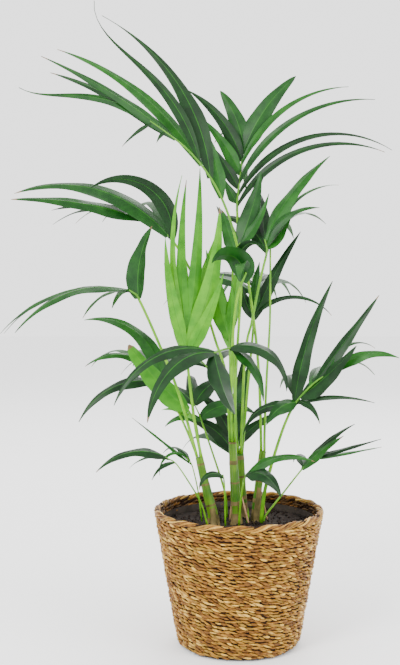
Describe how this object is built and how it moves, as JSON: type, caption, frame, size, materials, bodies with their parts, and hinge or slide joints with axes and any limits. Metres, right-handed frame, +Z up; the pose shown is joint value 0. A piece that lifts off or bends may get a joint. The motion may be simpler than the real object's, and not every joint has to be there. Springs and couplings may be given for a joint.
{
  "type": "potted palm",
  "caption": "Potted kentia palm: a clump of young green fronds in a tapered basket woven from seagrass.",
  "frame": {"origin": "centre of the basket's flat underside, on the floor", "axes": "+Z up; the pictured front faces -Y, with +X to the right"},
  "size_m": [0.5864, 0.5467, 0.9185],
  "materials": {
    "seagrass": "matte",
    "liner": "satin",
    "soil": "matte",
    "stem": "satin",
    "petiole": "satin",
    "leaf": "satin",
    "young_leaf": "satin",
    "sheath": "matte"
  },
  "bodies": {
    "root": {"basket": "seagrass", "liner": "liner", "soil": "soil", "stem_left": "stem", "stem_centre": "stem", "stem_right": "stem", "stem_back": "stem", "shoot": "petiole", "sheath_front": "sheath", "sheath_centre": "sheath", "sheath_right": "sheath", "sheath_left": "sheath", "petiole_top_left": "petiole", "petiole_upper_left": "petiole", "petiole_left": "petiole", "petiole_dark_left": "petiole", "petiole_pale_left": "petiole", "petiole_young_left": "petiole", "petiole_front": "petiole", "petiole_hooded": "petiole", "petiole_young_centre": "petiole", "petiole_top_right": "petiole", "petiole_upright_centre": "petiole", "petiole_right_mid": "petiole", "petiole_right_thin": "petiole", "petiole_back": "petiole", "petiole_back_left": "petiole", "petiole_low_dark": "petiole", "petiole_low_back": "petiole", "petiole_right": "petiole", "petiole_low_right": "petiole", "petiole_low_front": "petiole", "petiole_tiny": "petiole", "petiole_low_left": "petiole", "petiole_sprig_left": "petiole", "frond_top_left": "leaf", "frond_upper_left": "leaf", "frond_left": "leaf", "frond_dark_left": "leaf", "frond_pale_left": "young_leaf", "frond_young_left": "young_leaf", "frond_front": "leaf", "frond_hooded": "leaf", "frond_young_centre": "young_leaf", "frond_top_right": "leaf", "frond_upright_centre": "leaf", "frond_right_mid": "leaf", "frond_right_thin": "leaf", "frond_back": "leaf", "frond_back_left": "leaf", "frond_low_dark": "leaf", "frond_low_back": "leaf", "frond_right": "leaf", "frond_low_right": "leaf", "frond_low_front": "leaf", "frond_tiny": "leaf", "frond_low_left": "leaf", "frond_sprig_left": "leaf"}
  },
  "joints": []
}
